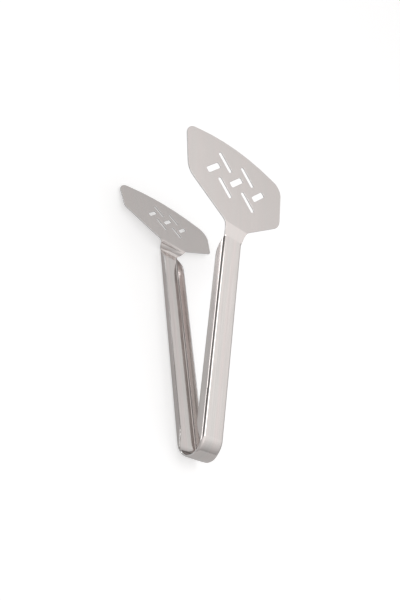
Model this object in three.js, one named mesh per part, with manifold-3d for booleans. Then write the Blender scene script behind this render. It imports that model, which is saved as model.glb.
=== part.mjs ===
// Slotted serving tongs, pressed and folded from one strip of spring steel.
// A round bow joins two channel-shaped arms that spread apart, and each arm ends in a cranked neck
// and a flat, slotted blade. One blade is large and deep, the other is shallower with smaller slots.
//
// Millimetres, +Z up. The tongs lie on the web of the small jaw's arm, which runs along +X towards
// the blades. The large jaw is on top. The origin is under the middle of the whole object.
// Each jaw is drawn in its own frame, with its origin at the bow's centre, X along the arm, Y across
// the strip and Z towards the other jaw.

import * as THREE from 'three';
import { mergeVertices } from 'three/addons/utils/BufferGeometryUtils.js';
import Module from 'manifold-3d';

const wasm = await Module();
wasm.setup();

// ---------------------------------------------------------------- driving dimensions (mm, degrees)

const sheet = 1.0;
const stripWidth = 17.5;
const joinGap = 0.3;

const bow = {
  innerRadius: 11.8,
  steps: 40,
};

const armSpread = 17.0;

const channel = {
  foldRadius: 1.4,
  flangeDepth: 6.4,
  flangeFlare: 15.5,
  flangeStart: 1.0,
  flangeStop: 0.4,
  flangeRiseAtBow: 14.0,
  flangeRiseAtNeck: 16.0,
};

const neck = {
  width: 20.8,
  bendRadius: 2.6,
  flatOnBlade: 3.0,
};

const largeJaw = {
  name: 'large',
  armLength: 145.0,
  neckRun: 9.0,
  neckRise: -1.9,
  bladeTilt: 6.4,
  bladeLength: 73.5,
  bladeWidth: 104.0,
  cornerToFront: 13.0,
  sideLength: 40.5,
  sideTaper: 3.6,
  frontRadius: 168.0,
  frontCornerRadius: 10.0,
  sideCornerRadius: 14.0,
  neckFillet: 11.0,
  slotCentre: 41.5,
  slotPitch: 24.0,
  slotLength: 17.0,
  slotWidth: 4.4,
  slotAngle: 45.0,
};

const smallJaw = {
  name: 'small',
  armLength: 170.0,
  neckRun: 3.4,
  restLift: 0.1,
  bladeTilt: -6.5,
  bladeLength: 51.5,
  bladeWidth: 98.0,
  cornerToFront: 11.0,
  sideLength: 27.0,
  sideTaper: 2.6,
  frontRadius: 168.0,
  frontCornerRadius: 10.5,
  sideCornerRadius: 5.0,
  neckFillet: 7.5,
  slotCentre: 28.5,
  slotPitch: 16.2,
  slotLength: 11.6,
  slotWidth: 3.0,
  slotAngle: -45.0,
};

// The small blade's front edge comes back down to the plane that the arm's web rests on.
smallJaw.neckRise = smallJaw.bladeLength * Math.sin(radians(-smallJaw.bladeTilt)) + smallJaw.restLift;

const bowOuterRadius = bow.innerRadius + sheet;
const slotRounding = 0.3;
const arcSteps = 8;
const cutMargin = 5.0;

// ---------------------------------------------------------------- steel

const bowSteel = { color: 0xb4aeaa, roughness: 0.28, metalness: 1.0 };
const armSteel = { color: 0xc2bcb8, roughness: 0.32, metalness: 1.0 };
const bladeSteel = { color: 0xbab4b0, roughness: 0.36, metalness: 1.0 };

// ---------------------------------------------------------------- flat shapes

function radians(degrees) {
  return degrees * Math.PI / 180;
}

// Points of a closed outline whose corners [x, y, radius] are rounded, each by an arc of its radius.
function roundedOutline(corners) {
  const points = [];
  corners.forEach(([x, y, radius], i) => {
    const corner = new THREE.Vector2(x, y);
    const [beforeX, beforeY] = corners[(i + corners.length - 1) % corners.length];
    const [afterX, afterY] = corners[(i + 1) % corners.length];
    const back = new THREE.Vector2(beforeX, beforeY).sub(corner).normalize();
    const ahead = new THREE.Vector2(afterX, afterY).sub(corner).normalize();
    const halfAngle = Math.acos(THREE.MathUtils.clamp(back.dot(ahead), -1, 1)) / 2;
    if (radius === 0) {
      points.push(corner);
      return;
    }
    const middle = back.clone().add(ahead).normalize();
    const centre = middle.multiplyScalar(radius / Math.sin(halfAngle)).add(corner);
    const tangent = radius / Math.tan(halfAngle);
    const first = back.multiplyScalar(tangent).add(corner).sub(centre);
    const last = ahead.multiplyScalar(tangent).add(corner).sub(centre);
    const turn = Math.atan2(first.cross(last), first.dot(last));
    for (let k = 0; k <= arcSteps; k += 1) {
      points.push(first.clone().rotateAround(new THREE.Vector2(), turn * k / arcSteps).add(centre));
    }
  });
  return points;
}

// Outline of a bent sheet seen on edge. Its middle line runs through the corner points, and each
// corner is rounded by the bend radius.
function bentSheet(corners, bendRadius) {
  const upper = [];
  const lower = [];
  const addStation = (middle, direction) => {
    const normal = new THREE.Vector2(-direction.y, direction.x).multiplyScalar(sheet / 2);
    upper.push(middle.clone().add(normal));
    lower.unshift(middle.clone().sub(normal));
  };
  const directions = [];
  for (let i = 1; i < corners.length; i += 1) {
    directions.push(corners[i].clone().sub(corners[i - 1]).normalize());
  }
  addStation(corners[0], directions[0]);
  for (let i = 1; i < corners.length - 1; i += 1) {
    const before = directions[i - 1];
    const after = directions[i];
    const turn = Math.atan2(before.cross(after), before.dot(after));
    const side = Math.sign(turn);
    const tangent = bendRadius * Math.tan(Math.abs(turn) / 2);
    const start = corners[i].clone().addScaledVector(before, -tangent);
    const centre = start.clone().add(new THREE.Vector2(-before.y, before.x).multiplyScalar(side * bendRadius));
    for (let k = 0; k <= arcSteps; k += 1) {
      const angle = turn * k / arcSteps;
      addStation(start.clone().rotateAround(centre, angle), before.clone().rotateAround(new THREE.Vector2(), angle));
    }
  }
  addStation(corners[corners.length - 1], directions[directions.length - 1]);
  return new THREE.Shape([...upper, ...lower]);
}

// ---------------------------------------------------------------- solids

// A side view (x, z) made a solid of the given width, centred across the strip.
function extrudeAcross(shape, width) {
  const geometry = new THREE.ExtrudeGeometry(shape, { depth: width, bevelEnabled: false });
  geometry.rotateX(Math.PI / 2);
  return geometry.translate(0, width / 2, 0);
}

// A section (y, z) made a solid that runs along X from start to end.
function extrudeAlong(shape, start, end) {
  const geometry = new THREE.ExtrudeGeometry(shape, { depth: end - start, bevelEnabled: false });
  const turned = new THREE.Matrix4().makeBasis(
    new THREE.Vector3(0, 1, 0),
    new THREE.Vector3(0, 0, 1),
    new THREE.Vector3(1, 0, 0),
  );
  return geometry.applyMatrix4(turned).translate(start, 0, 0);
}

function toSolid(geometry) {
  const bare = geometry.clone();
  bare.deleteAttribute('normal');
  bare.deleteAttribute('uv');
  const merged = mergeVertices(bare);
  return new wasm.Manifold(new wasm.Mesh({
    numProp: 3,
    vertProperties: new Float32Array(merged.attributes.position.array),
    triVerts: new Uint32Array(merged.index.array),
  }));
}

function toGeometry(solid) {
  const mesh = solid.getMesh();
  const geometry = new THREE.BufferGeometry();
  geometry.setAttribute('position', new THREE.BufferAttribute(mesh.vertProperties, 3));
  geometry.setIndex(new THREE.BufferAttribute(mesh.triVerts, 1));
  geometry.computeVertexNormals();
  return geometry;
}

function namedMesh(name, geometry, steel) {
  const mesh = new THREE.Mesh(geometry, new THREE.MeshStandardMaterial(steel));
  mesh.name = name;
  return mesh;
}

// ---------------------------------------------------------------- bow

// The bow runs round the back from the small arm's start to the large arm's start. Each of its ends
// stops half a gap short, measured along the arc.
function makeBow() {
  const trim = joinGap / 2 / bow.innerRadius;
  const first = radians(90 + armSpread) + trim;
  const last = radians(270) - trim;
  const shape = new THREE.Shape();
  shape.absarc(0, 0, bowOuterRadius, first, last, false);
  shape.absarc(0, 0, bow.innerRadius, last, first, true);
  const geometry = new THREE.ExtrudeGeometry(shape, {
    depth: stripWidth,
    bevelEnabled: false,
    curveSegments: bow.steps,
  });
  geometry.rotateX(Math.PI / 2);
  geometry.translate(0, stripWidth / 2, 0);
  return namedMesh('spring_bow', geometry, bowSteel);
}

// ---------------------------------------------------------------- arm

// Section of the channel: a flat web with a flange folded up and flared out at each edge.
function channelSection() {
  const lean = radians(channel.flangeFlare);
  const foldHalfWidth = stripWidth / 2 - sheet / 2;
  const webMiddle = -bowOuterRadius + sheet / 2;
  const reach = channel.flangeDepth - sheet / 2;
  const tip = new THREE.Vector2(foldHalfWidth + reach * Math.sin(lean), webMiddle + reach * Math.cos(lean));
  const fold = new THREE.Vector2(foldHalfWidth, webMiddle);
  return bentSheet([
    new THREE.Vector2(-tip.x, tip.y),
    new THREE.Vector2(-fold.x, fold.y),
    fold,
    tip,
  ], channel.foldRadius + sheet / 2);
}

// Side view of the space the channel fills: the web's full length, and flanges that rise from it in
// a quarter ellipse at each end.
function flangeEnvelope(armLength) {
  const base = -bowOuterRadius - cutMargin;
  const root = -bowOuterRadius + sheet + channel.foldRadius / 2;
  const top = -bowOuterRadius + channel.flangeDepth * Math.cos(radians(channel.flangeFlare)) + sheet;
  const nearBow = channel.flangeStart;
  const nearNeck = armLength - channel.flangeStop;
  const riseAtBow = channel.flangeRiseAtBow;
  const riseAtNeck = channel.flangeRiseAtNeck;
  const shape = new THREE.Shape();
  shape.moveTo(-cutMargin, base);
  shape.lineTo(armLength + cutMargin, base);
  shape.lineTo(armLength + cutMargin, root);
  shape.lineTo(nearNeck, root);
  shape.absellipse(nearNeck - riseAtNeck, root, riseAtNeck, top - root, 0, Math.PI / 2, false);
  shape.absellipse(nearBow + riseAtBow, root, riseAtBow, top - root, Math.PI / 2, Math.PI, false);
  shape.lineTo(-cutMargin, root);
  return shape;
}

function makeArm(jaw) {
  const blank = toSolid(extrudeAlong(channelSection(), joinGap / 2, jaw.armLength - joinGap / 2));
  const envelope = toSolid(extrudeAcross(flangeEnvelope(jaw.armLength), 2 * stripWidth));
  return namedMesh(`${jaw.name}_arm`, toGeometry(blank.intersect(envelope)), armSteel);
}

// ---------------------------------------------------------------- neck and blade

// Where the neck's second bend meets the blade, on the middle of the sheet, in the jaw's side view.
function bladeRoot(jaw) {
  return new THREE.Vector2(jaw.armLength + jaw.neckRun, -bowOuterRadius + sheet / 2 + jaw.neckRise);
}

// Side view of the sheet from the arm's end over the neck's two bends to the blade's front edge.
function headSideView(jaw) {
  const tilt = radians(jaw.bladeTilt);
  const root = bladeRoot(jaw);
  const webMiddle = -bowOuterRadius + sheet / 2;
  return bentSheet([
    new THREE.Vector2(jaw.armLength - cutMargin, webMiddle),
    new THREE.Vector2(jaw.armLength, webMiddle),
    root,
    root.clone().add(new THREE.Vector2(Math.cos(tilt), Math.sin(tilt)).multiplyScalar(jaw.bladeLength)),
  ], neck.bendRadius);
}

// Front outline of neck and blade, in the blade's plane: x from the neck's second bend towards the
// front edge, y across. The front edge is one long arc, and the sides draw in a little towards the
// neck before the lower edges slope down to it.
function headOutline(jaw) {
  const halfWidth = jaw.bladeWidth / 2;
  const frontSlope = jaw.cornerToFront / halfWidth;
  const arcRise = jaw.frontRadius * (Math.hypot(1, frontSlope) - 1);
  const crown = jaw.bladeLength + arcRise;
  const shoulder = crown - jaw.cornerToFront;
  const hip = shoulder - jaw.sideLength;
  const hipHalfWidth = halfWidth - jaw.sideTaper;
  const neckHalf = neck.width / 2;
  const foot = -jaw.neckRun - cutMargin;
  const right = [
    [foot, neckHalf, 0],
    [0, neckHalf, jaw.neckFillet],
    [hip, hipHalfWidth, jaw.sideCornerRadius],
    [shoulder, halfWidth, jaw.frontCornerRadius],
  ];
  const left = right.map(([x, y, radius]) => [x, -y, radius]).reverse();
  return roundedOutline([...right, [crown, 0, jaw.frontRadius], ...left]);
}

// One slot with rounded corners, turned by the given angle about its middle.
function slotShape(jaw, x, y, angle) {
  const halfLength = jaw.slotLength / 2;
  const halfWidth = jaw.slotWidth / 2;
  const cornerRadius = jaw.slotWidth * slotRounding;
  const outline = roundedOutline([
    [-halfLength, -halfWidth, cornerRadius],
    [halfLength, -halfWidth, cornerRadius],
    [halfLength, halfWidth, cornerRadius],
    [-halfLength, halfWidth, cornerRadius],
  ]);
  const middle = new THREE.Vector2(x, y);
  return new THREE.Shape(outline.map((p) => p.rotateAround(new THREE.Vector2(), angle).add(middle)));
}

// Seven slots like a basket weave: a row of three across the blade, and two and two between them,
// turned the other way.
function slotShapes(jaw) {
  const pitch = jaw.slotPitch;
  const angle = radians(jaw.slotAngle);
  const middleRow = [-1, 0, 1].map((k) => slotShape(jaw, jaw.slotCentre, k * pitch, angle));
  const outerRows = [-0.5, 0.5].flatMap((row) => [-0.5, 0.5].map(
    (k) => slotShape(jaw, jaw.slotCentre + row * pitch, k * pitch, -angle),
  ));
  return [...middleRow, ...outerRows];
}

// An outline in the blade's plane made a solid that reaches well past both faces of the blade.
function throughBlade(jaw, shape) {
  const depth = 4 * bowOuterRadius;
  const root = bladeRoot(jaw);
  const geometry = new THREE.ExtrudeGeometry(shape, { depth, bevelEnabled: false });
  geometry.translate(0, 0, -depth / 2);
  geometry.rotateY(-radians(jaw.bladeTilt));
  geometry.translate(root.x, 0, root.y);
  return toSolid(geometry);
}

// The whole head as one solid: the bent sheet cut to the front outline, with its slots.
function headSolid(jaw) {
  const bent = toSolid(extrudeAcross(headSideView(jaw), jaw.bladeWidth + 2 * cutMargin));
  let head = bent.intersect(throughBlade(jaw, new THREE.Shape(headOutline(jaw))));
  for (const shape of slotShapes(jaw)) {
    head = head.subtract(throughBlade(jaw, shape));
  }
  return head;
}

// A box that holds everything from start to end along the jaw, tilted with the blade about its root.
function slab(jaw, start, end, tilt) {
  const height = 8 * bowOuterRadius;
  const box = new THREE.BoxGeometry(end - start, jaw.bladeWidth + 2 * cutMargin, height);
  const root = bladeRoot(jaw);
  box.translate((start + end) / 2, 0, 0);
  box.rotateY(-radians(tilt));
  box.translate(root.x, 0, root.y);
  return toSolid(box);
}

function makeHead(jaw) {
  const head = headSolid(jaw);
  const split = neck.flatOnBlade;
  const beyond = jaw.bladeLength + cutMargin;
  const armEnd = -jaw.neckRun + joinGap / 2;
  const neckSolid = head
    .intersect(slab(jaw, armEnd, beyond, 0))
    .intersect(slab(jaw, -beyond, split - joinGap / 2, jaw.bladeTilt));
  const bladeSolid = head.intersect(slab(jaw, split + joinGap / 2, beyond, jaw.bladeTilt));
  return [
    namedMesh(`${jaw.name}_neck`, toGeometry(neckSolid), bladeSteel),
    namedMesh(`${jaw.name}_blade`, toGeometry(bladeSolid), bladeSteel),
  ];
}

// ---------------------------------------------------------------- the tongs

function makeJaw(jaw) {
  const group = new THREE.Group();
  group.add(makeArm(jaw), ...makeHead(jaw));
  return group;
}

const tongs = new THREE.Group();
tongs.add(makeBow());

const lowerJaw = makeJaw(smallJaw);
tongs.add(lowerJaw);

const upperJaw = makeJaw(largeJaw);
upperJaw.rotation.set(Math.PI, radians(-armSpread), 0, 'YXZ');
tongs.add(upperJaw);

// The web's outer face lies on the ground plane, and the middle of the object's length is at X = 0.
const box = new THREE.Box3().setFromObject(tongs, true);
tongs.position.set(-(box.min.x + box.max.x) / 2, 0, bowOuterRadius);

const part = new THREE.Group();
part.add(tongs);

export default part;
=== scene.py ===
"""Slotted serving tongs, pressed and folded from one strip of brushed steel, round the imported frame.

Each jaw starts as a flat blank: half of the bow, the arm with its two flanges, the neck and the
blade. The slots are punched and the cut edges broken while the blank is flat. It is then scored
where it bends, pressed into shape, and parted into the pieces that the frame names.
A blank lies with its length along X, its width along Y and its thickness along Z. A jaw is pressed
in its own frame, with the bow's centre at the origin, X along the arm and Z towards the other jaw.
"""

import math

import bmesh
import bpy
import numpy as np
from bpy.props import FloatProperty, FloatVectorProperty, PointerProperty
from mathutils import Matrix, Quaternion, Vector


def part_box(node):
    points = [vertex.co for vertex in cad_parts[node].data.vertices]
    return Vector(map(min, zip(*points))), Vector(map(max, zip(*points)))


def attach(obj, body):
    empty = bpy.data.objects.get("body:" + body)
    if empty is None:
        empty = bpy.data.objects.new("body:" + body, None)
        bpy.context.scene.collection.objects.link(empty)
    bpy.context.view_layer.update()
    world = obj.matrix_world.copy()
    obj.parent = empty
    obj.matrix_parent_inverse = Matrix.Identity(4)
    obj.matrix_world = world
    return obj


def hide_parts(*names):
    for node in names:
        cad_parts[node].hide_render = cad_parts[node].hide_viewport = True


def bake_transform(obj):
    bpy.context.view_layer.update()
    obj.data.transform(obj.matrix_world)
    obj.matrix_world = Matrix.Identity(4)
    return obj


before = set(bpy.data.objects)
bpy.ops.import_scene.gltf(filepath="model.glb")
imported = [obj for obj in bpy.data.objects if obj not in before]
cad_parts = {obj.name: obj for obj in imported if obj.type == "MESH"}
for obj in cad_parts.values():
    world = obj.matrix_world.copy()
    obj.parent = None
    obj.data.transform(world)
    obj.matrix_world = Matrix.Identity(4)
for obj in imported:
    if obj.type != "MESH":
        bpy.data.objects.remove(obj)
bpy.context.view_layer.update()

bl_info = {
    "name": "Serving Tongs",
    "version": (1, 0, 0),
    "blender": (4, 5, 0),
    "location": "View3D > Sidebar > Tongs",
    "description": "Slotted serving tongs pressed from one strip of steel",
    "category": "Object",
}


# ------------------------------------------------------------------ sizes and colours


def length(name, description, default):
    return FloatProperty(name=name, description=description, default=default, unit="LENGTH", precision=5)


def angle(name, description, degrees):
    return FloatProperty(name=name, description=description, default=math.radians(degrees), subtype="ANGLE")


def share(name, description, default):
    return FloatProperty(
        name=name, description=description, default=default, min=0.0, max=1.0, subtype="FACTOR"
    )


def colour(name, description, default):
    return FloatVectorProperty(
        name=name, description=description, default=default, size=3, min=0.0, max=1.0, subtype="COLOR"
    )


class TongsStrip(bpy.types.PropertyGroup):
    """The strip that both jaws are pressed from."""

    sheet: length("Sheet", "Thickness of the steel", 0.001)
    width: length("Strip width", "Width of the bow, and of the arms' webs over their folds", 0.0175)
    bow_radius: length("Bow radius", "Inner radius of the bow", 0.0118)
    spread: angle("Spread", "Angle between the two arms at rest", 17.0)
    fold_radius: length("Fold radius", "Inner radius of the fold between web and flange", 0.0014)
    flange_depth: length("Flange depth", "Slant depth of a flange, from the web's outer face", 0.0064)
    flange_flare: angle("Flange flare", "Lean of a flange outwards from square", 15.5)
    edge_break: length("Edge break", "Rounding of the cut edges", 0.0002)


class LargeJaw(bpy.types.PropertyGroup):
    """The large, deep jaw on top."""

    arm: length("Arm", "Length of the arm, from the bow to the neck", 0.145)
    neck_run: length("Neck run", "Length of the neck along the arm", 0.009)
    neck_rise: length("Neck rise", "Step of the neck towards the other jaw", -0.0019)
    neck_half: length("Neck half width", "Half the width of the neck, where it meets the blade", 0.0104)
    neck_dish: length("Neck dish", "How far the neck's edges stand above its middle", 0.0)
    bend_radius: length("Bend radius", "Radius of the neck's two bends, on the sheet's middle", 0.0042)
    blade_tilt: angle("Blade tilt", "Tilt of the blade from the arm", 6.4)
    blade: length("Blade", "Length of the blade from the neck, short of the front arc's rise", 0.0735)
    half_width: length("Half width", "Half the width of the blade", 0.052)
    corner_drop: length("Corner drop", "How far the front corners lie behind the front edge's middle", 0.013)
    side: length("Side", "Length of the blade's side", 0.0405)
    side_taper: length("Side taper", "How much narrower each side is at its neck end", 0.0036)
    front_radius: length("Front radius", "Radius of the front edge", 0.168)
    front_corner: length("Front corner", "Radius of the front corners", 0.010)
    side_corner: length("Side corner", "Radius of the corners at the neck end of the sides", 0.014)
    fillet: length("Fillet", "Radius between neck and blade", 0.011)
    slot_middle: length("Slot middle", "Distance from the neck to the middle row of slots", 0.0415)
    slot_pitch: length("Slot pitch", "Distance between the slots of a row", 0.024)
    slot_length: length("Slot length", "Length of a slot", 0.017)
    slot_width: length("Slot width", "Width of a slot", 0.0044)
    slot_turn: angle("Slot turn", "Turn of the middle row's slots", 45.0)


class SmallJaw(bpy.types.PropertyGroup):
    """The small, shallow jaw that the tongs lie on."""

    arm: length("Arm", "Length of the arm, from the bow to the neck", 0.170)
    neck_run: length("Neck run", "Length of the neck along the arm", 0.0034)
    neck_rise: length("Neck rise", "Step of the neck towards the other jaw", 0.00593)
    neck_half: length("Neck half width", "Half the width of the neck, where it meets the blade", 0.0124)
    neck_dish: length("Neck dish", "How far the neck's edges stand above its middle", 0.0018)
    bend_radius: length("Bend radius", "Radius of the neck's two bends, on the sheet's middle", 0.0031)
    blade_tilt: angle("Blade tilt", "Tilt of the blade from the arm", -6.5)
    blade: length("Blade", "Length of the blade from the neck, short of the front arc's rise", 0.0515)
    half_width: length("Half width", "Half the width of the blade", 0.049)
    corner_drop: length("Corner drop", "How far the front corners lie behind the front edge's middle", 0.011)
    side: length("Side", "Length of the blade's side", 0.027)
    side_taper: length("Side taper", "How much narrower each side is at its neck end", 0.0026)
    front_radius: length("Front radius", "Radius of the front edge", 0.168)
    front_corner: length("Front corner", "Radius of the front corners", 0.0105)
    side_corner: length("Side corner", "Radius of the corners at the neck end of the sides", 0.005)
    fillet: length("Fillet", "Radius between neck and blade", 0.010)
    slot_middle: length("Slot middle", "Distance from the neck to the middle row of slots", 0.0285)
    slot_pitch: length("Slot pitch", "Distance between the slots of a row", 0.0162)
    slot_length: length("Slot length", "Length of a slot", 0.0116)
    slot_width: length("Slot width", "Width of a slot", 0.003)
    slot_turn: angle("Slot turn", "Turn of the middle row's slots", -45.0)


class SteelFinish(bpy.types.PropertyGroup):
    """Colour and finish of the steel."""

    arm: colour("Arm steel", "Colour of the brushed arms", (0.785, 0.73, 0.713))
    bow: colour("Bow steel", "Colour of the bow", (0.80, 0.75, 0.733))
    blade: colour("Blade steel", "Colour of the satin blades", (0.80, 0.752, 0.733))
    rim: colour("Cut edge", "Colour of the sheared and broken edges", (0.88, 0.865, 0.86))
    roughness: share("Roughness", "How much the steel blurs what it reflects", 0.12)
    streaks: share("Streaks", "Strength of the brushed streaks", 0.38)


class StageSettings(bpy.types.PropertyGroup):
    """Floor, lights and camera."""

    floor: colour("Floor", "Colour of the floor", (0.66, 0.66, 0.66))
    camera_place: FloatVectorProperty(
        name="Camera place",
        description="Where the camera stands",
        default=(-0.31073, 0.29529, 0.29269),
        size=3,
        subtype="TRANSLATION",
        precision=5,
    )
    camera_heading: angle("Heading", "Compass angle of the camera's look, from +X towards +Y", -43.693)
    camera_pitch: angle("Pitch", "How far the camera looks down", 31.764)
    camera_roll: angle("Roll", "How far the camera is rolled about its look", 53.878)
    lens: FloatProperty(name="Lens", description="Focal length of the camera", default=42.0, unit="CAMERA")


class TongsSettings(bpy.types.PropertyGroup):
    """Everything that a user would change."""

    strip: PointerProperty(type=TongsStrip)
    large: PointerProperty(type=LargeJaw)
    small: PointerProperty(type=SmallJaw)
    finish: PointerProperty(type=SteelFinish)
    stage: PointerProperty(type=StageSettings)


# ------------------------------------------------------------------ the flat blank

ARC_STEP = math.radians(5.0)

# How far the bow's half turns, from the arm to the bow's back, and the spare strip beyond the back.
BOW_TURN = math.radians(81.5)
BOW_SPARE = 0.003

# Where the flanges gain their width and the folds their angle, from the arm's start.
FLANGE_RISES = (-0.0060, 0.0060)
FOLD_OPENS = (-0.0150, -0.0030)

# Where the flanges lose their width and the folds their angle, from the neck's first bend.
FLANGE_FALLS = (-0.0105, -0.0010)
FOLD_CLOSES = (-0.0025, 0.0010)

# The rounding of the flanges' ends, and the length and the corner radius of the relief behind them.
TAPER_RADIUS = 0.022
RELIEF_LENGTH = 0.0016
RELIEF_RADIUS = 0.0005

# Where the neck's dish starts, from the arm's end, and where it ends, from the blade's start.
DISH_RISES = (-0.003, 0.001)
DISH_FALLS = (-0.002, 0.002)

# How far the neck's piece reaches onto the flat of the blade.
FLAT_ON_BLADE = 0.003

# The share of a slot's width that its corners are rounded by.
SLOT_CORNER = 0.3


def rounded_outline(corners):
    """Points of a closed outline whose corners (x, y, radius) are rounded."""
    points = []
    for i, (x, y, radius) in enumerate(corners):
        corner = Vector((x, y))
        if radius == 0:
            points.append(corner)
            continue
        back = (Vector(corners[i - 1][:2]) - corner).normalized()
        ahead = (Vector(corners[(i + 1) % len(corners)][:2]) - corner).normalized()
        half = math.acos(max(-1.0, min(1.0, back.dot(ahead)))) / 2
        centre = corner + (back + ahead).normalized() * (radius / math.sin(half))
        first = corner + back * (radius / math.tan(half)) - centre
        last = corner + ahead * (radius / math.tan(half)) - centre
        turn = math.atan2(first.x * last.y - first.y * last.x, first.dot(last))
        steps = max(3, math.ceil(abs(turn) / ARC_STEP))
        for k in range(steps + 1):
            a = turn * k / steps
            c, s = math.cos(a), math.sin(a)
            points.append(centre + Vector((first.x * c - first.y * s, first.x * s + first.y * c)))
    return points


def fold_sizes(strip):
    """(where a fold starts, its radius on the sheet's middle, its full angle, the blank's half width)."""
    radius = strip.fold_radius + strip.sheet / 2
    full = math.pi / 2 - strip.flange_flare
    tangent = radius * math.tan(full / 2)
    start = (strip.width - strip.sheet) / 2 - tangent
    half = start + radius * full + strip.flange_depth - strip.sheet / 2 - tangent
    return start, radius, full, half


def bow_middle_radius(strip):
    return strip.bow_radius + strip.sheet / 2


def neck_bends(jaw):
    """The strip's straight and bent lengths from the arm's start, as (length, turn), and where the
    blade's own length starts from."""
    slope = math.atan2(jaw.neck_rise, jaw.neck_run)
    turns = slope, jaw.blade_tilt - slope
    tangents = [jaw.bend_radius * math.tan(abs(t) / 2) for t in turns]
    arcs = [jaw.bend_radius * abs(t) for t in turns]
    neck = math.hypot(jaw.neck_run, jaw.neck_rise) - sum(tangents)
    lengths = [
        (jaw.arm - tangents[0], 0.0),
        (arcs[0], turns[0]),
        (neck, 0.0),
        (arcs[1], turns[1]),
        (jaw.blade * 2, 0.0),
    ]
    root = sum(n for n, _ in lengths[:4]) - tangents[1]
    return lengths, root


def first_bend(jaw):
    """Where the neck's first bend starts, from the arm's start."""
    return neck_bends(jaw)[0][0][0]


def blade_corners(jaw):
    """(crown, shoulder, hip): the front edge's middle, its corners and the sides' neck ends, all
    measured from the neck."""
    slope = jaw.corner_drop / jaw.half_width
    crown = jaw.blade + jaw.front_radius * (math.hypot(1.0, slope) - 1.0)
    shoulder = crown - jaw.corner_drop
    return crown, shoulder, shoulder - jaw.side


def blank_outline(strip, jaw):
    """Outline of the whole blank, from beyond the middle of the bow to the blade's front edge."""
    full_half = fold_sizes(strip)[3]
    root = neck_bends(jaw)[1]
    crown, shoulder, hip = blade_corners(jaw)
    start = -bow_middle_radius(strip) * BOW_TURN - BOW_SPARE
    fold_start, fold_radius = fold_sizes(strip)[:2]
    bend = first_bend(jaw)
    relief = bend + FLANGE_FALLS[1]
    upper = [
        (start, strip.width / 2, 0.0),
        (FLANGE_RISES[0], strip.width / 2, TAPER_RADIUS),
        (FLANGE_RISES[1], full_half, TAPER_RADIUS),
        (bend + FLANGE_FALLS[0], full_half, TAPER_RADIUS),
        (relief, fold_start + fold_radius, RELIEF_RADIUS),
        (relief + RELIEF_LENGTH, strip.width / 2, RELIEF_RADIUS),
        (root, jaw.neck_half, jaw.fillet),
        (root + hip, jaw.half_width - jaw.side_taper, jaw.side_corner),
        (root + shoulder, jaw.half_width, jaw.front_corner),
    ]
    lower = [(x, -y, radius) for x, y, radius in reversed(upper)]
    return rounded_outline([*upper, (root + crown, 0.0, jaw.front_radius), *lower])


def flat_plate(name, outline, sheet):
    """A plate of the sheet's thickness, centred on Z, cut to the outline."""
    bm = bmesh.new()
    bottom = bm.faces.new([bm.verts.new((p.x, p.y, -sheet / 2)) for p in outline])
    made = bmesh.ops.extrude_face_region(bm, geom=[bottom])["geom"]
    raised = [v for v in made if isinstance(v, bmesh.types.BMVert)]
    bmesh.ops.translate(bm, verts=raised, vec=(0, 0, sheet))
    bmesh.ops.recalc_face_normals(bm, faces=bm.faces[:])
    mesh = bpy.data.meshes.new(name)
    bm.to_mesh(mesh)
    bm.free()
    plate = bpy.data.objects.new(name, mesh)
    bpy.context.scene.collection.objects.link(plate)
    return plate


# ------------------------------------------------------------------ punching the slots


def add_input(tree, name, kind, default=None):
    socket = tree.interface.new_socket(name, in_out="INPUT", socket_type=kind)
    if default is not None:
        socket.default_value = default


def feed(tree, sockets, values):
    """Gives each socket its value, which is a number or another node's output."""
    for socket, value in zip(sockets, values):
        if isinstance(value, (int, float)):
            socket.default_value = value
        else:
            tree.links.new(value, socket)


def math_node(tree, operation, a, b):
    node = tree.nodes.new("ShaderNodeMath")
    node.operation = operation
    feed(tree, node.inputs, (a, b))
    return node.outputs[0]


def xyz_node(tree, x=0.0, y=0.0, z=0.0):
    node = tree.nodes.new("ShaderNodeCombineXYZ")
    feed(tree, node.inputs, (x, y, z))
    return node.outputs[0]


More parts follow.
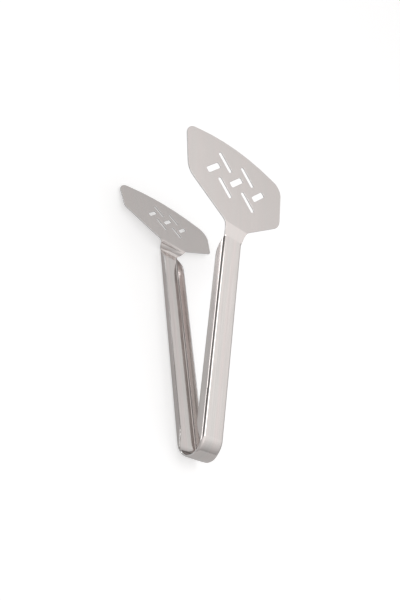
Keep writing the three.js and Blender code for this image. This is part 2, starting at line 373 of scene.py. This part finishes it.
def punch_tree():
    """Seven slots in a basket-weave pattern, cut right through a flat plate."""
    tree = bpy.data.node_groups.get("Punched slots")
    if tree:
        return tree
    tree = bpy.data.node_groups.new("Punched slots", "GeometryNodeTree")
    add_input(tree, "Plate", "NodeSocketGeometry")
    add_input(tree, "Middle", "NodeSocketFloat", 0.2)
    add_input(tree, "Pitch", "NodeSocketFloat", 0.024)
    add_input(tree, "Length", "NodeSocketFloat", 0.017)
    add_input(tree, "Width", "NodeSocketFloat", 0.0044)
    add_input(tree, "Corner", "NodeSocketFloat", 0.0013)
    add_input(tree, "Turn", "NodeSocketFloat", math.radians(45.0))
    add_input(tree, "Punch Height", "NodeSocketFloat", 0.004)
    add_input(tree, "Material", "NodeSocketMaterial")
    tree.interface.new_socket("Plate", in_out="OUTPUT", socket_type="NodeSocketGeometry")
    new, link = tree.nodes.new, tree.links.new
    given = new("NodeGroupInput").outputs
    result = new("NodeGroupOutput")

    outline = new("GeometryNodeCurvePrimitiveQuadrilateral")
    link(given["Length"], outline.inputs["Width"])
    link(given["Width"], outline.inputs["Height"])
    rounded = new("GeometryNodeFilletCurve")
    for socket in rounded.inputs:
        if socket.name == "Mode" and socket.type in {"MENU", "STRING"}:
            socket.default_value = "Poly"
    if hasattr(rounded, "mode"):
        rounded.mode = "POLY"
    rounded.inputs["Count"].default_value = 7
    link(outline.outputs["Curve"], rounded.inputs["Curve"])
    link(given["Corner"], rounded.inputs["Radius"])
    face = new("GeometryNodeFillCurve")
    if hasattr(face, "mode"):
        face.mode = "NGONS"
    link(rounded.outputs["Curve"], face.inputs["Curve"])
    lowered = new("GeometryNodeTransform")
    link(face.outputs["Mesh"], lowered.inputs["Geometry"])
    half = math_node(tree, "MULTIPLY", given["Punch Height"], -0.5)
    link(xyz_node(tree, z=half), lowered.inputs["Translation"])
    raised = new("GeometryNodeExtrudeMesh")
    raised.mode = "FACES"
    link(lowered.outputs["Geometry"], raised.inputs["Mesh"])
    link(given["Punch Height"], raised.inputs["Offset Scale"])
    under = new("GeometryNodeFlipFaces")
    link(lowered.outputs["Geometry"], under.inputs["Mesh"])
    both = new("GeometryNodeJoinGeometry")
    link(raised.outputs["Mesh"], both.inputs["Geometry"])
    link(under.outputs["Mesh"], both.inputs["Geometry"])
    punch = new("GeometryNodeMergeByDistance")
    punch.inputs["Distance"].default_value = 1e-6
    link(both.outputs["Geometry"], punch.inputs["Geometry"])

    row = new("GeometryNodeMeshLine")
    row.mode = "OFFSET"
    row.inputs["Count"].default_value = 3
    behind = math_node(tree, "MULTIPLY", given["Pitch"], -1.0)
    link(xyz_node(tree, given["Middle"], behind), row.inputs["Start Location"])
    link(xyz_node(tree, y=given["Pitch"]), row.inputs["Offset"])
    square = new("GeometryNodeMeshGrid")
    square.inputs["Vertices X"].default_value = 2
    square.inputs["Vertices Y"].default_value = 2
    link(given["Pitch"], square.inputs["Size X"])
    link(given["Pitch"], square.inputs["Size Y"])
    placed = new("GeometryNodeTransform")
    link(square.outputs["Mesh"], placed.inputs["Geometry"])
    link(xyz_node(tree, given["Middle"]), placed.inputs["Translation"])

    punches = new("GeometryNodeJoinGeometry")
    for points, sign in ((row.outputs["Mesh"], 1.0), (placed.outputs["Geometry"], -1.0)):
        spread = new("GeometryNodeInstanceOnPoints")
        link(points, spread.inputs["Points"])
        link(punch.outputs["Geometry"], spread.inputs["Instance"])
        link(xyz_node(tree, z=math_node(tree, "MULTIPLY", given["Turn"], sign)), spread.inputs["Rotation"])
        link(spread.outputs["Instances"], punches.inputs["Geometry"])
    solid = new("GeometryNodeRealizeInstances")
    link(punches.outputs["Geometry"], solid.inputs["Geometry"])
    cut = new("GeometryNodeMeshBoolean")
    cut.operation = "DIFFERENCE"
    if hasattr(cut, "solver"):
        cut.solver = "EXACT"
    link(given["Plate"], cut.inputs["Mesh 1"])
    link(solid.outputs["Geometry"], cut.inputs["Mesh 2"])
    real = new("GeometryNodeRealizeInstances")
    link(cut.outputs["Mesh"], real.inputs["Geometry"])
    coat = new("GeometryNodeSetMaterial")
    link(real.outputs["Geometry"], coat.inputs["Geometry"])
    link(given["Material"], coat.inputs["Material"])
    link(coat.outputs["Geometry"], result.inputs[0])
    return tree


def set_input(modifier, name, value):
    """Sets a modifier's input by the identifier of the socket that has this name."""
    for item in modifier.node_group.interface.items_tree:
        if item.item_type == "SOCKET" and item.in_out == "INPUT" and item.name == name:
            modifier[item.identifier] = value
            return
    raise RuntimeError(f"the node tree has no input named {name}")


def finished_mesh(obj):
    """The object's mesh with its modifiers applied. The object itself is removed."""
    depsgraph = bpy.context.evaluated_depsgraph_get()
    mesh = bpy.data.meshes.new_from_object(obj.evaluated_get(depsgraph))
    bpy.data.objects.remove(obj)
    return mesh


def blank_mesh(strip, jaw, steel, with_slots):
    """The flat blank with its slots punched and its cut edges broken."""
    plate = flat_plate("blank", blank_outline(strip, jaw), strip.sheet)
    if with_slots:
        slots = plate.modifiers.new("Slots", "NODES")
        slots.node_group = punch_tree()
        set_input(slots, "Middle", neck_bends(jaw)[1] + jaw.slot_middle)
        set_input(slots, "Pitch", jaw.slot_pitch)
        set_input(slots, "Length", jaw.slot_length)
        set_input(slots, "Width", jaw.slot_width)
        set_input(slots, "Corner", jaw.slot_width * SLOT_CORNER)
        set_input(slots, "Turn", jaw.slot_turn)
        set_input(slots, "Punch Height", strip.sheet * 4)
        set_input(slots, "Material", steel)
    broken = plate.modifiers.new("Edge break", "BEVEL")
    broken.width = strip.edge_break
    broken.segments = 2
    broken.limit_method = "ANGLE"
    broken.angle_limit = math.radians(60.0)
    broken.use_clamp_overlap = True
    return finished_mesh(plate)


# ------------------------------------------------------------------ pressing it into shape


SCORE_STEP = 0.001


def score_lines(strip, jaw):
    """Where the blank is scored so that it can bend: stations along it, and lines along the folds.
    The stations lie close on the bow, at the flanges' ends and on the neck, and far apart between."""
    start, radius, full, half = fold_sizes(strip)
    lengths, root = neck_bends(jaw)
    back = -bow_middle_radius(strip) * BOW_TURN
    along = list(np.linspace(back - BOW_SPARE * 0.9, back, 4)[:-1])
    along += list(np.linspace(back, 0.0, 30))
    along += list(np.arange(SCORE_STEP, FLANGE_RISES[1] + 0.006, SCORE_STEP))
    along += list(np.linspace(0.03, jaw.arm - 0.036, 6))
    along += list(np.arange(jaw.arm - 0.031, first_bend(jaw) - SCORE_STEP / 2, SCORE_STEP))
    at = 0.0
    for size, turn in lengths[:4]:
        if turn:
            along += list(np.linspace(at, at + size, 9))
        at += size
    along.append(root + FLAT_ON_BLADE)
    folds = list(start + radius * full * np.linspace(0.0, 1.0, 8))
    folds += list(np.linspace(start + radius * full, half, 4)[1:-1])
    across = sorted([-v for v in folds] + [-start / 2, 0.0, start / 2] + folds)
    return along, across


def score(mesh, along, across, fold_end):
    """Cuts the flat mesh along the score lines. Lines across stop where the flanges do."""
    bm = bmesh.new()
    bm.from_mesh(mesh)
    bmesh.ops.triangulate(bm, faces=bm.faces[:])
    for x in along:
        near = [f for f in bm.faces if min(v.co.x for v in f.verts) < x < max(v.co.x for v in f.verts)]
        touched = set(near) | {e for f in near for e in f.edges} | {v for f in near for v in f.verts}
        bmesh.ops.bisect_plane(bm, geom=list(touched), dist=2e-6, plane_co=(x, 0, 0), plane_no=(1, 0, 0))
    for y in across:
        near = [
            f
            for f in bm.faces
            if min(v.co.y for v in f.verts) < y < max(v.co.y for v in f.verts)
            and max(v.co.x for v in f.verts) < fold_end
        ]
        touched = set(near) | {e for f in near for e in f.edges} | {v for f in near for v in f.verts}
        bmesh.ops.bisect_plane(bm, geom=list(touched), dist=2e-6, plane_co=(0, y, 0), plane_no=(0, 1, 0))
    bmesh.ops.triangulate(bm, faces=[f for f in bm.faces if len(f.verts) > 4])
    bm.to_mesh(mesh)
    bm.free()


def smooth_step(x, low, high):
    t = np.clip((x - low) / (high - low), 0.0, 1.0)
    return t * t * (3 - 2 * t)


def press(strip, jaw, flat):
    """Where the points of the flat blank go in the jaw's own frame. A point lies s along the blank, v
    across it and t through it."""
    s, v, t = flat.T
    middle = bow_middle_radius(strip)
    turn = np.minimum(s, 0.0) / middle
    x, z, heading = middle * np.sin(turn), -middle * np.cos(turn), turn.copy()
    at = 0.0
    for size, bend in neck_bends(jaw)[0]:
        part = np.clip(s - at, 0.0, size)
        if bend:
            radius = size / bend
            after = heading + part / radius
            x += radius * (np.sin(after) - np.sin(heading))
            z -= radius * (np.cos(after) - np.cos(heading))
            heading = after
        else:
            x += part * np.cos(heading)
            z += part * np.sin(heading)
        at += size

    start, radius, full, _ = fold_sizes(strip)
    bend = first_bend(jaw)
    before_neck = 1 - smooth_step(s, bend + FOLD_CLOSES[0], bend + FOLD_CLOSES[1])
    fold = full * smooth_step(s, *FOLD_OPENS) * before_neck
    over = np.maximum(np.abs(v) - start, 0.0)
    lean = np.minimum(over / radius, fold)
    rest = np.maximum(over - radius * fold, 0.0)
    reach = np.minimum(np.abs(v), start) + radius * np.sin(lean) + rest * np.cos(fold) - t * np.sin(lean)
    height = radius * (1 - np.cos(lean)) + rest * np.sin(fold) + t * np.cos(lean)
    root = neck_bends(jaw)[1]
    onto_neck = smooth_step(s, jaw.arm + DISH_RISES[0], jaw.arm + DISH_RISES[1])
    before_blade = 1 - smooth_step(s, root + DISH_FALLS[0], root + DISH_FALLS[1])
    dished = onto_neck * before_blade
    height += jaw.neck_dish * dished * (v / jaw.neck_half) ** 2
    return np.stack([x - height * np.sin(heading), np.sign(v) * reach, z + height * np.cos(heading)], 1)


def place_jaw(strip, points, upper):
    """Points of a jaw's own frame moved to where that jaw lies."""
    outer = strip.bow_radius + strip.sheet
    if upper:
        c, s = math.cos(strip.spread), math.sin(strip.spread)
        x, y, z = points.T
        points = np.stack([x * c + z * s, -y, x * s - z * c], 1)
    return points + np.array([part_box("spring_bow")[0].x + outer, 0.0, outer])


class PressedJaw:
    """One jaw in one piece: its points, their places on the flat blank, its faces, which of them are
    cut edges, and their corner normals."""

    def __init__(self, strip, jaw, upper, steel, with_slots=True):
        mesh = blank_mesh(strip, jaw, steel, with_slots)
        score(mesh, *score_lines(strip, jaw), jaw.arm + 0.0005)
        self.flat = np.array([v.co for v in mesh.vertices], float)
        self.rim = [abs(p.normal.z) < 0.99 for p in mesh.polygons]
        self.faces = [tuple(p.vertices) for p in mesh.polygons]
        self.points = place_jaw(strip, press(strip, jaw, self.flat), upper)
        mesh.vertices.foreach_set("co", self.points.astype(np.float32).ravel())
        mesh.polygons.foreach_set("use_smooth", [True] * len(mesh.polygons))
        mesh.update()
        shaded = bpy.data.objects.new("shaded", mesh)
        bpy.context.scene.collection.objects.link(shaded)
        weighted = shaded.modifiers.new("Weighted", "WEIGHTED_NORMAL")
        weighted.mode = "FACE_AREA_WITH_ANGLE"
        weighted.weight = 50
        result = finished_mesh(shaded)
        normals = np.array([n.vector for n in result.corner_normals], float)
        starts = [p.loop_start for p in result.polygons]
        self.normals = [normals[a : a + len(f)] for a, f in zip(starts, self.faces)]

    def part(self, name, low, high, materials):
        """The closed piece between two stations of the blank."""
        middles = [self.flat[list(f), 0].mean() for f in self.faces]
        chosen = [i for i, m in enumerate(middles) if low < m < high]
        used = sorted({v for i in chosen for v in self.faces[i]})
        number = {v: k for k, v in enumerate(used)}
        faces = [[number[v] for v in self.faces[i]] for i in chosen]
        corner_normals = [n for i in chosen for n in self.normals[i]]
        rims = [int(self.rim[i]) for i in chosen]
        points = self.points[used]
        flat = self.flat[used]
        for cap in open_loops(faces):
            faces.append(cap)
            ring = points[cap]
            normal = np.cross(ring, np.roll(ring, -1, axis=0)).sum(0)
            corner_normals += [normal / np.linalg.norm(normal)] * len(cap)
            rims.append(1)
        mesh = bpy.data.meshes.new(name)
        mesh.from_pydata(points.tolist(), [], faces)
        mesh.polygons.foreach_set("use_smooth", [True] * len(faces))
        mesh.polygons.foreach_set("material_index", rims)
        chart = mesh.uv_layers.new(name="Strip")
        corners = np.array([v for f in faces for v in f])
        chart.data.foreach_set("uv", flat[corners][:, :2].astype(np.float32).ravel())
        mesh.normals_split_custom_set([tuple(n) for n in corner_normals])
        for material in materials:
            mesh.materials.append(material)
        piece = bpy.data.objects.new(name, mesh)
        bpy.context.scene.collection.objects.link(piece)
        return piece


def open_loops(faces):
    """Rings of points along the open edges, wound so that each closes its hole."""
    edges = {(f[i], f[(i + 1) % len(f)]) for f in faces for i in range(len(f))}
    follow = {b: a for a, b in edges if (b, a) not in edges}
    loops = []
    while follow:
        first = next(iter(follow))
        ring, at = [], first
        while at in follow:
            ring.append(at)
            at = follow.pop(at)
        if at != first:
            raise RuntimeError("an open edge of a pressed piece doesn't close")
        loops.append(ring)
    return loops


# How far a piece's box may be off its node's box.
PLACE_SLACK = 0.004


def check_place(piece, node):
    """Raises an error where a piece isn't where its frame node is."""
    points = np.array([v.co for v in piece.data.vertices], float)
    low, high = (np.array(corner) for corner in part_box(node))
    off = max(np.abs(points.min(0) - low).max(), np.abs(points.max(0) - high).max())
    if off > PLACE_SLACK:
        raise RuntimeError(f"{piece.name} is {off * 1000:.1f} mm off its place in the frame")


# ------------------------------------------------------------------ steel


def value_map(tree, value, low, high, to_low, to_high):
    node = tree.nodes.new("ShaderNodeMapRange")
    node.inputs["From Min"].default_value = low
    node.inputs["From Max"].default_value = high
    node.inputs["To Min"].default_value = to_low
    node.inputs["To Max"].default_value = to_high
    tree.links.new(value, node.inputs["Value"])
    return node.outputs["Result"]


def noise(tree, vector, along, across, detail=2.0):
    """Noise with this many cells in a metre along and across the strip."""
    stretch = tree.nodes.new("ShaderNodeVectorMath")
    stretch.operation = "MULTIPLY"
    stretch.inputs[1].default_value = (along, across, 1.0)
    tree.links.new(vector, stretch.inputs[0])
    node = tree.nodes.new("ShaderNodeTexNoise")
    node.inputs["Scale"].default_value = 1.0
    node.inputs["Detail"].default_value = detail
    tree.links.new(stretch.outputs[0], node.inputs["Vector"])
    return node.outputs["Fac"]


# The shift of the steel's colour in its cool bands.
COOL_SHIFT = (0.962, 1.0, 0.998)


def brushed_group():
    """Long, fine streaks along the strip, over slow clouds and bands of a cooler colour."""
    tree = bpy.data.node_groups.get("Brushed steel")
    if tree:
        return tree
    tree = bpy.data.node_groups.new("Brushed steel", "ShaderNodeTree")
    add_input(tree, "Strip", "NodeSocketVector")
    add_input(tree, "Colour", "NodeSocketColor", (0.8, 0.8, 0.8, 1.0))
    add_input(tree, "Streaks", "NodeSocketFloat", 0.5)
    add_input(tree, "Base Roughness", "NodeSocketFloat", 0.25)
    outputs = (("Colour", "NodeSocketColor"), ("Roughness", "NodeSocketFloat"), ("Height", "NodeSocketFloat"))
    for name, kind in outputs:
        tree.interface.new_socket(name, in_out="OUTPUT", socket_type=kind)
    given = tree.nodes.new("NodeGroupInput").outputs
    result = tree.nodes.new("NodeGroupOutput").inputs
    strip = given["Strip"]
    fine = noise(tree, strip, 45.0, 7000.0)
    broad = noise(tree, strip, 14.0, 900.0)
    bands = noise(tree, strip, 5.0, 170.0, 1.0)
    cloud = noise(tree, strip, 55.0, 70.0, 3.0)
    fine_part, broad_part = math_node(tree, "MULTIPLY", fine, 0.45), math_node(tree, "MULTIPLY", broad, 0.55)
    lines = math_node(tree, "ADD", fine_part, broad_part)
    swing = given["Streaks"]
    shade = math_node(tree, "MULTIPLY", math_node(tree, "SUBTRACT", lines, 0.5), swing)
    haze_swing = math_node(tree, "MULTIPLY", swing, 0.22)
    haze = math_node(tree, "MULTIPLY", math_node(tree, "SUBTRACT", cloud, 0.5), haze_swing)
    gain = math_node(tree, "ADD", math_node(tree, "ADD", shade, haze), 1.0)
    cool = tree.nodes.new("ShaderNodeVectorMath")
    cool.operation = "MULTIPLY"
    cool.inputs[1].default_value = COOL_SHIFT
    tree.links.new(given["Colour"], cool.inputs[0])
    blend = tree.nodes.new("ShaderNodeMix")
    blend.data_type = "VECTOR"
    strength = math_node(tree, "MULTIPLY", swing, 2.5)
    banded = math_node(tree, "MULTIPLY", strength, value_map(tree, bands, 0.38, 0.62, 0.0, 1.0))
    tree.links.new(banded, blend.inputs["Factor"])
    tree.links.new(given["Colour"], blend.inputs[4])
    tree.links.new(cool.outputs[0], blend.inputs[5])
    tint = tree.nodes.new("ShaderNodeVectorMath")
    tint.operation = "SCALE"
    tree.links.new(blend.outputs[1], tint.inputs[0])
    tree.links.new(gain, tint.inputs["Scale"])
    tree.links.new(tint.outputs[0], result["Colour"])
    shade_part, haze_part = math_node(tree, "MULTIPLY", shade, 0.9), math_node(tree, "MULTIPLY", haze, 1.4)
    blur = math_node(tree, "ADD", shade_part, haze_part)
    rough = math_node(tree, "ADD", given["Base Roughness"], blur)
    tree.links.new(rough, result["Roughness"])
    tree.links.new(lines, result["Height"])
    return tree


GRAIN_DEPTH = 0.000006


def steel(name, tint, streaks, roughness, bump):
    """Brushed or satin steel whose grain runs along the strip."""
    material = bpy.data.materials.get(name)
    if material:
        return material
    material = bpy.data.materials.new(name)
    material.use_nodes = True
    tree = material.node_tree
    shader = tree.nodes["Principled BSDF"]
    shader.inputs["Metallic"].default_value = 1.0
    chart = tree.nodes.new("ShaderNodeUVMap")
    chart.uv_map = "Strip"
    grain = tree.nodes.new("ShaderNodeGroup")
    grain.node_tree = brushed_group()
    grain.inputs["Colour"].default_value = (*tint, 1.0)
    grain.inputs["Streaks"].default_value = streaks
    grain.inputs["Base Roughness"].default_value = roughness
    raised = tree.nodes.new("ShaderNodeBump")
    raised.inputs["Strength"].default_value = bump
    raised.inputs["Distance"].default_value = GRAIN_DEPTH
    tree.links.new(chart.outputs["UV"], grain.inputs["Strip"])
    tree.links.new(grain.outputs["Colour"], shader.inputs["Base Color"])
    tree.links.new(grain.outputs["Roughness"], shader.inputs["Roughness"])
    tree.links.new(grain.outputs["Height"], raised.inputs["Height"])
    tree.links.new(raised.outputs["Normal"], shader.inputs["Normal"])
    return material


def arm_steel(finish):
    return steel("brushed_arm", finish.arm, finish.streaks, finish.roughness, 0.25)


def bow_steel(finish):
    return steel("brushed_bow", finish.bow, finish.streaks * 0.8, finish.roughness, 0.2)


def blade_steel(finish):
    return steel("satin_blade", finish.blade, finish.streaks * 0.4, finish.roughness + 0.12, 0.2)


def rim_steel(finish):
    return steel("sheared_edge", finish.rim, finish.streaks * 0.3, finish.roughness + 0.04, 0.1)


# ------------------------------------------------------------------ operators


class TONGS_OT_jaw_base:
    """Shared work of the two jaw operators."""

    side = ""
    upper = False

    def execute(self, context):
        settings = context.scene.tongs
        finish = settings.finish
        jaw = getattr(settings, self.side)
        whole = PressedJaw(settings.strip, jaw, self.upper, blade_steel(finish))
        rim = rim_steel(finish)
        neck_start = first_bend(jaw)
        neck_end = neck_bends(jaw)[1] + FLAT_ON_BLADE
        body = f"{self.side}_jaw"
        parts = (
            ("arm", 0.0, neck_start, arm_steel(finish), "arm_steel"),
            ("neck", neck_start, neck_end, blade_steel(finish), "blade_steel"),
            ("blade", neck_end, math.inf, blade_steel(finish), "blade_steel"),
        )
        for part, low, high, main, slot in parts:
            node = f"{self.side}_{part}"
            piece = whole.part(f"{node}_pressed", low, high, (main, rim))
            check_place(piece, node)
            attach(piece, body)
            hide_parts(node)
        return {"FINISHED"}


class TONGS_OT_large_jaw(TONGS_OT_jaw_base, bpy.types.Operator):
    """Press the large jaw: arm, neck and slotted blade."""

    bl_idname = "tongs.large_jaw"
    bl_label = "Large Jaw"
    side = "large"
    upper = True


class TONGS_OT_small_jaw(TONGS_OT_jaw_base, bpy.types.Operator):
    """Press the small jaw: arm, neck and slotted blade."""

    bl_idname = "tongs.small_jaw"
    bl_label = "Small Jaw"
    side = "small"


class TONGS_OT_bow(bpy.types.Operator):
    """Press the bow: two halves, each curving from the bow's back to its own jaw."""

    bl_idname = "tongs.bow"
    bl_label = "Spring Bow"

    def execute(self, context):
        settings = context.scene.tongs
        strip = settings.strip
        materials = bow_steel(settings.finish), rim_steel(settings.finish)
        back = -bow_middle_radius(strip) * BOW_TURN
        for side, upper in (("large", True), ("small", False)):
            jaw = getattr(settings, side)
            whole = PressedJaw(strip, jaw, upper, None, with_slots=False)
            half = whole.part(f"bow_half_{side}", back, 0.0, materials)
            ends = press(strip, jaw, np.array([[back, 0.0, 0.0], [0.0, 0.0, 0.0]]))
            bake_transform(half)
            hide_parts("spring_bow")
        return {"FINISHED"}


def area_light(name, place, target, size, power):
    light = bpy.data.lights.new(name, "AREA")
    light.shape = "RECTANGLE"
    light.size, light.size_y = size
    light.energy = power
    lamp = bpy.data.objects.new(name, light)
    lamp.location = place
    lamp.rotation_mode = "QUATERNION"
    lamp.rotation_quaternion = (Vector(target) - Vector(place)).to_track_quat("-Z", "Y")
    lamp.visible_camera = False
    bpy.context.scene.collection.objects.link(lamp)


# Dark cloths that give the folds and the bow their contrast: compass angle, height, inner and outer
# radius in degrees, and the share of light that they leave.
DARK_CLOTHS = ((56.0, 44.0, 26.0, 42.0, 0.24), (-108.0, 4.0, 14.0, 32.0, 0.8))


def studio_world():
    """A room that brightens towards its ceiling, with dark cloths hung at two places."""
    world = bpy.data.worlds.new("Studio")
    world.use_nodes = True
    tree = world.node_tree
    new, link = tree.nodes.new, tree.links.new
    room = tree.nodes["Background"]
    room.inputs["Color"].default_value = (1.0, 0.985, 0.98, 1.0)
    plain = new("ShaderNodeBackground")
    plain.inputs["Color"].default_value = (1.0, 1.0, 1.0, 1.0)
    plain.inputs["Strength"].default_value = 1.0
    direction = new("ShaderNodeTexCoord").outputs["Generated"]
    parts = new("ShaderNodeSeparateXYZ")
    link(direction, parts.inputs[0])
    low = value_map(tree, parts.outputs["Z"], 0.0, 0.62, 0.35, 0.72)
    high = value_map(tree, parts.outputs["Z"], 0.62, 0.80, 0.0, 0.25)
    level = math_node(tree, "ADD", low, high)
    for heading, height, inner, outer, left in DARK_CLOTHS:
        towards = new("ShaderNodeVectorMath")
        towards.operation = "DOT_PRODUCT"
        across = math.cos(math.radians(height))
        towards.inputs[1].default_value = (
            math.cos(math.radians(heading)) * across,
            math.sin(math.radians(heading)) * across,
            math.sin(math.radians(height)),
        )
        link(direction, towards.inputs[0])
        edges = math.cos(math.radians(outer)), math.cos(math.radians(inner))
        shade = value_map(tree, towards.outputs["Value"], *edges, 1.0, left)
        level = math_node(tree, "MULTIPLY", level, shade)
    link(level, room.inputs["Strength"])
    path = new("ShaderNodeLightPath")
    mix = new("ShaderNodeMixShader")
    link(path.outputs["Is Camera Ray"], mix.inputs[0])
    link(room.outputs[0], mix.inputs[1])
    link(plain.outputs[0], mix.inputs[2])
    link(mix.outputs[0], tree.nodes["World Output"].inputs["Surface"])
    return world


def floor_material(stage):
    """Pale paper, lit from below so that shadows stay light. The steel mirrors it darker than it is."""
    material = bpy.data.materials.new("floor_paper")
    material.use_nodes = True
    tree = material.node_tree
    seen = tree.nodes["Principled BSDF"]
    seen.inputs["Base Color"].default_value = (*stage.floor, 1.0)
    seen.inputs["Roughness"].default_value = 0.9
    seen.inputs["Emission Color"].default_value = (1.0, 1.0, 1.0, 1.0)
    seen.inputs["Emission Strength"].default_value = 0.55
    mirrored = tree.nodes.new("ShaderNodeBsdfPrincipled")
    mirrored.inputs["Base Color"].default_value = (0.25, 0.25, 0.25, 1.0)
    mirrored.inputs["Roughness"].default_value = 0.9
    mirrored.inputs["Emission Color"].default_value = (1.0, 0.985, 0.98, 1.0)
    mirrored.inputs["Emission Strength"].default_value = 0.3
    path = tree.nodes.new("ShaderNodeLightPath")
    mix = tree.nodes.new("ShaderNodeMixShader")
    tree.links.new(path.outputs["Is Glossy Ray"], mix.inputs[0])
    tree.links.new(seen.outputs[0], mix.inputs[1])
    tree.links.new(mirrored.outputs[0], mix.inputs[2])
    tree.links.new(mix.outputs[0], tree.nodes["Material Output"].inputs["Surface"])
    return material


FLOOR_HALF = 3.0
FLOOR_DROP = 0.0002


class TONGS_OT_stage(bpy.types.Operator):
    """Lay the floor, hang the lights and set up the camera."""

    bl_idname = "tongs.stage"
    bl_label = "Stage"

    def execute(self, context):
        stage = context.scene.tongs.stage
        scene = context.scene
        bm = bmesh.new()
        bmesh.ops.create_grid(bm, x_segments=8, y_segments=8, size=FLOOR_HALF)
        bmesh.ops.translate(bm, verts=bm.verts[:], vec=(0.0, 0.0, -FLOOR_DROP))
        mesh = bpy.data.meshes.new("floor")
        bm.to_mesh(mesh)
        bm.free()
        mesh.materials.append(floor_material(stage))
        floor = bpy.data.objects.new("floor", mesh)
        scene.collection.objects.link(floor)

        area_light("ceiling_light", (0.0, 0.0, 1.5), (0.0, 0.0, 0.0), (0.7, 0.7), 2.0)
        area_light("side_card", (0.47, 0.88, 0.12), (0.0, 0.0, 0.05), (1.4, 0.3), 2.3)
        scene.world = studio_world()
        scene.view_settings.view_transform = "Standard"

        camera = bpy.data.objects.new("camera", bpy.data.cameras.new("camera"))
        camera.data.lens = stage.lens
        camera.data.sensor_width = 36.0
        camera.data.clip_start = 0.01
        camera.location = stage.camera_place
        across = math.cos(stage.camera_pitch)
        look = Vector((
            math.cos(stage.camera_heading) * across,
            math.sin(stage.camera_heading) * across,
            -math.sin(stage.camera_pitch),
        ))
        camera.rotation_mode = "QUATERNION"
        roll = Quaternion((0.0, 0.0, 1.0), stage.camera_roll)
        camera.rotation_quaternion = look.to_track_quat("-Z", "Y") @ roll
        scene.collection.objects.link(camera)
        scene.camera = camera
        return {"FINISHED"}


class TONGS_PT_panel(bpy.types.Panel):
    """Sizes, finish and the operators that build the tongs."""

    bl_label = "Serving Tongs"
    bl_idname = "TONGS_PT_panel"
    bl_space_type = "VIEW_3D"
    bl_region_type = "UI"
    bl_category = "Tongs"

    def draw(self, context):
        settings = context.scene.tongs
        for group in (settings.strip, settings.large, settings.small, settings.finish, settings.stage):
            box = self.layout.box()
            for name in group.__annotations__:
                box.prop(group, name)
        for operator in OPERATORS:
            self.layout.operator(operator.bl_idname)


OPERATORS = (TONGS_OT_large_jaw, TONGS_OT_small_jaw, TONGS_OT_bow, TONGS_OT_stage)
SETTINGS = (TongsStrip, LargeJaw, SmallJaw, SteelFinish, StageSettings, TongsSettings)
CLASSES = (*SETTINGS, *OPERATORS, TONGS_PT_panel)


def register():
    for cls in CLASSES:
        bpy.utils.register_class(cls)
    bpy.types.Scene.tongs = PointerProperty(type=TongsSettings)


def unregister():
    del bpy.types.Scene.tongs
    for cls in reversed(CLASSES):
        bpy.utils.unregister_class(cls)


def main():
    register()
    bpy.ops.tongs.large_jaw()
    bpy.ops.tongs.small_jaw()
    bpy.ops.tongs.bow()
    bpy.ops.tongs.stage()
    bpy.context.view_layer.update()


if __name__ == "__main__":
    main()
